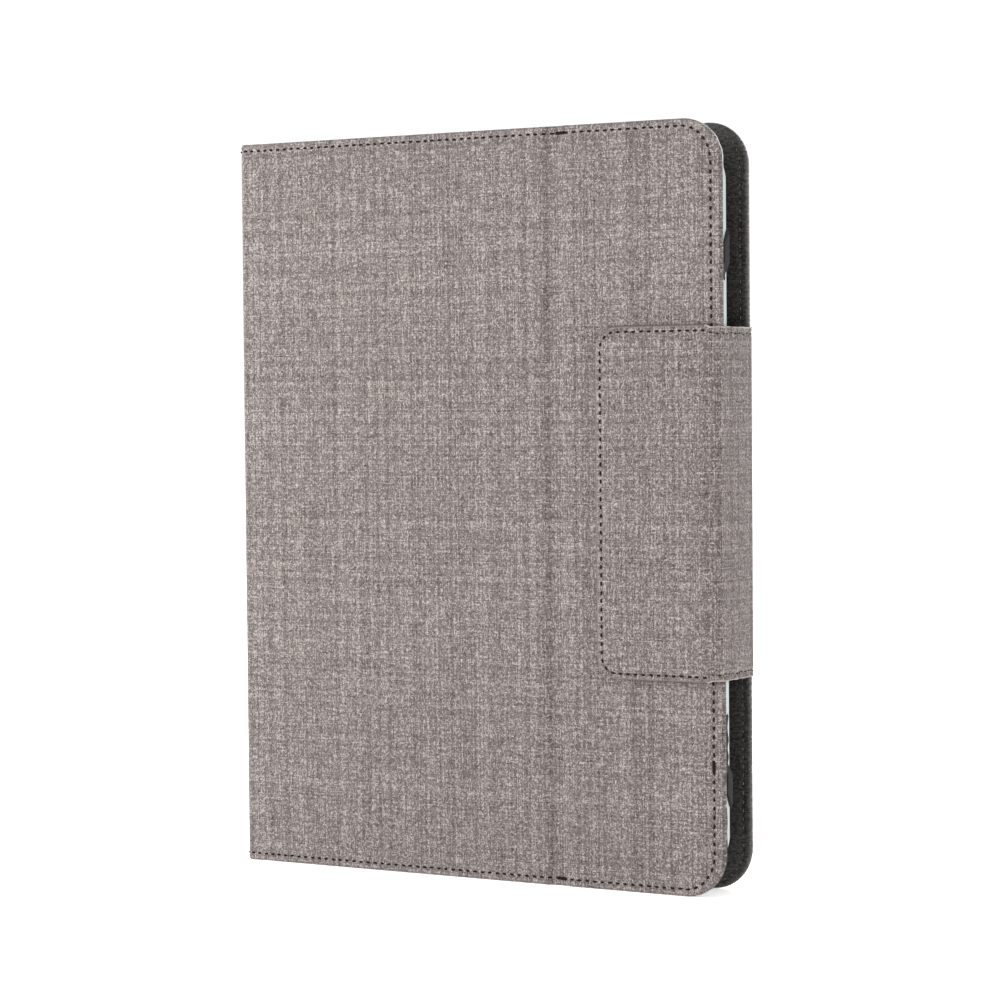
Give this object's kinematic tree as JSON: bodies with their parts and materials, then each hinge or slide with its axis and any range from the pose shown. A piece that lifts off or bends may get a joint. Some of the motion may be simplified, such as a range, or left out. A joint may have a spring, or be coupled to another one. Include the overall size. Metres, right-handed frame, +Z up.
{
  "type": "tablet keyboard case",
  "caption": "Fabric folio for a ten-inch tablet: hinged covers with a folding front, corner-strap plate, magnetic closing flap and a removable slim keyboard.",
  "frame": {"origin": "middle of the bottom of the whole closed case, which stands on the covers' bottom edges", "axes": "+Z up along the spine, +X from the spine to the free edge, -Y out of the front cover"},
  "size_m": [0.1976, 0.0272, 0.262],
  "materials": {
    "linen": "warm grey melange linen-look weave",
    "lining": "fine grained soft artificial leather",
    "greyboard": "pressed paper board",
    "steel": "rolled sheet",
    "magnet": "nickel plated",
    "foam": "adhesive foam pad",
    "plate_plastic": "pale moulded sheet, satin edge",
    "microfibre": "brushed microfibre",
    "elastic": "ribbed woven elastic",
    "rubber": "moulded silicone rubber",
    "circuit_board": "solder mask",
    "shield": "tinned shielding can",
    "battery_foil": "pouch foil",
    "light_pipe": "clear moulded light pipe",
    "keyboard_plastic": "fine moulded texture",
    "switch_plastic": "moulded",
    "key_plastic": "satin moulded caps"
  },
  "bodies": {
    "back_cover": {"back_fabric": "linen", "back_board": "greyboard", "back_lining": "lining", "keyboard_keepers": "steel", "flap_anchor": "linen"},
    "spine": {"spine_fabric": "linen", "spine_board": "greyboard", "spine_lining": "lining"},
    "front_inner": {"front_inner_fabric": "linen", "front_inner_board": "greyboard", "front_inner_lining": "lining"},
    "front_outer": {"front_outer_fabric": "linen", "front_outer_board": "greyboard", "front_outer_lining": "lining", "flap_keeper": "steel", "plate_pad": "foam", "tablet_plate": "plate_plastic", "plate_liner": "microfibre", "strap_spine_bottom": "elastic", "strap_spine_top": "elastic", "strap_edge_bottom": "elastic", "strap_edge_top": "elastic"},
    "flap_gusset": {"gusset_fabric": "linen", "gusset_lining": "lining"},
    "flap_tongue": {"tongue_fabric": "linen", "tongue_board": "greyboard", "tongue_lining": "lining", "tongue_magnets": "magnet"},
    "keyboard": {"keyboard_base": "keyboard_plastic", "keyboard_deck": "keyboard_plastic", "dome_sheet": "rubber", "circuit_board": "circuit_board", "bluetooth_module": "shield", "battery": "battery_foil", "charging_socket": "steel", "status_lights": "light_pipe", "keyboard_magnets": "magnet", "keyboard_feet": "rubber", "keyboard_screws": "steel"},
    "function_row_body": {"function_row_keys": "key_plastic"},
    "number_row_body": {"number_row_keys": "key_plastic"},
    "upper_letter_body": {"upper_letter_keys": "key_plastic"},
    "home_letter_body": {"home_letter_keys": "key_plastic"},
    "lower_letter_body": {"lower_letter_keys": "key_plastic"},
    "bottom_row_body": {"bottom_row_keys": "key_plastic"},
    "arrow_body": {"arrow_keys": "key_plastic"},
    "space_bar_body": {"space_bar": "key_plastic"},
    "enter_body": {"enter_key": "key_plastic"},
    "backspace_body": {"backspace_key": "key_plastic"},
    "left_shift_body": {"left_shift_key": "key_plastic"},
    "right_shift_body": {"right_shift_key": "key_plastic"},
    "tab_body": {"tab_key": "key_plastic"},
    "caps_body": {"caps_key": "key_plastic"},
    "power_switch_body": {"power_switch": "switch_plastic"},
    "pair_button_body": {"pair_button": "switch_plastic"}
  },
  "joints": [
    {"name": "cover_open", "type": "hinge", "parent": "back_cover", "child": "spine", "pos_m": [-0.09875, 0.01195, 0.131], "axis": [0, 0, -1], "range_deg": [0, 90]},
    {"name": "front_open", "type": "hinge", "parent": "spine", "child": "front_inner", "pos_m": [-0.09875, -0.01045, 0.131], "axis": [0, 0, -1], "range_deg": [0, 90]},
    {"name": "crease_fold", "type": "hinge", "parent": "front_inner", "child": "front_outer", "pos_m": [0.03325, -0.01045, 0.131], "axis": [0, 0, -1], "range_deg": [0, 45]},
    {"name": "flap_lift", "type": "hinge", "parent": "back_cover", "child": "flap_gusset", "pos_m": [0.09875, 0.01355, 0.1328], "axis": [0, 0, 1], "range_deg": [0, 120]},
    {"name": "tongue_lift", "type": "hinge", "parent": "flap_gusset", "child": "flap_tongue", "pos_m": [0.09875, -0.01355, 0.1328], "axis": [0, 0, 1], "range_deg": [0, 90]},
    {"name": "keyboard_release", "type": "slide", "parent": "back_cover", "child": "keyboard", "axis": [0, 0, 1], "range_m": [0, 0.265]},
    {"name": "function_row_press", "type": "slide", "parent": "keyboard", "child": "function_row_body", "axis": [0, 1, 0], "range_m": [0, 0.0015], "stiffness_N_per_m": 1800, "springref_m": -0.0008},
    {"name": "number_row_press", "type": "slide", "parent": "keyboard", "child": "number_row_body", "axis": [0, 1, 0], "range_m": [0, 0.0015], "stiffness_N_per_m": 1560, "springref_m": -0.0008},
    {"name": "upper_letter_press", "type": "slide", "parent": "keyboard", "child": "upper_letter_body", "axis": [0, 1, 0], "range_m": [0, 0.0015], "stiffness_N_per_m": 1560, "springref_m": -0.0008},
    {"name": "home_letter_press", "type": "slide", "parent": "keyboard", "child": "home_letter_body", "axis": [0, 1, 0], "range_m": [0, 0.0015], "stiffness_N_per_m": 1320, "springref_m": -0.0008},
    {"name": "lower_letter_press", "type": "slide", "parent": "keyboard", "child": "lower_letter_body", "axis": [0, 1, 0], "range_m": [0, 0.0015], "stiffness_N_per_m": 1200, "springref_m": -0.0008},
    {"name": "bottom_row_press", "type": "slide", "parent": "keyboard", "child": "bottom_row_body", "axis": [0, 1, 0], "range_m": [0, 0.0015], "stiffness_N_per_m": 720, "springref_m": -0.0008},
    {"name": "arrow_press", "type": "slide", "parent": "keyboard", "child": "arrow_body", "axis": [0, 1, 0], "range_m": [0, 0.0015], "stiffness_N_per_m": 480, "springref_m": -0.0008},
    {"name": "space_press", "type": "slide", "parent": "keyboard", "child": "space_bar_body", "axis": [0, 1, 0], "range_m": [0, 0.0015], "stiffness_N_per_m": 250, "springref_m": -0.0008},
    {"name": "enter_press", "type": "slide", "parent": "keyboard", "child": "enter_body", "axis": [0, 1, 0], "range_m": [0, 0.0015], "stiffness_N_per_m": 250, "springref_m": -0.0008},
    {"name": "backspace_press", "type": "slide", "parent": "keyboard", "child": "backspace_body", "axis": [0, 1, 0], "range_m": [0, 0.0015], "stiffness_N_per_m": 250, "springref_m": -0.0008},
    {"name": "left_shift_press", "type": "slide", "parent": "keyboard", "child": "left_shift_body", "axis": [0, 1, 0], "range_m": [0, 0.0015], "stiffness_N_per_m": 250, "springref_m": -0.0008},
    {"name": "right_shift_press", "type": "slide", "parent": "keyboard", "child": "right_shift_body", "axis": [0, 1, 0], "range_m": [0, 0.0015], "stiffness_N_per_m": 250, "springref_m": -0.0008},
    {"name": "tab_press", "type": "slide", "parent": "keyboard", "child": "tab_body", "axis": [0, 1, 0], "range_m": [0, 0.0015], "stiffness_N_per_m": 250, "springref_m": -0.0008},
    {"name": "caps_press", "type": "slide", "parent": "keyboard", "child": "caps_body", "axis": [0, 1, 0], "range_m": [0, 0.0015], "stiffness_N_per_m": 250, "springref_m": -0.0008},
    {"name": "power_slide", "type": "slide", "parent": "keyboard", "child": "power_switch_body", "axis": [1, 0, 0], "range_m": [0, 0.002]},
    {"name": "pair_press", "type": "slide", "parent": "keyboard", "child": "pair_button_body", "axis": [0, 1, 0], "range_m": [0, 0.0006], "stiffness_N_per_m": 400, "springref_m": -0.0006}
  ],
  "couplings": [
    {"joint": "front_open", "follows": "cover_open", "ratio": 1},
    {"joint": "crease_fold", "follows": "cover_open", "ratio": 0.5}
  ]
}
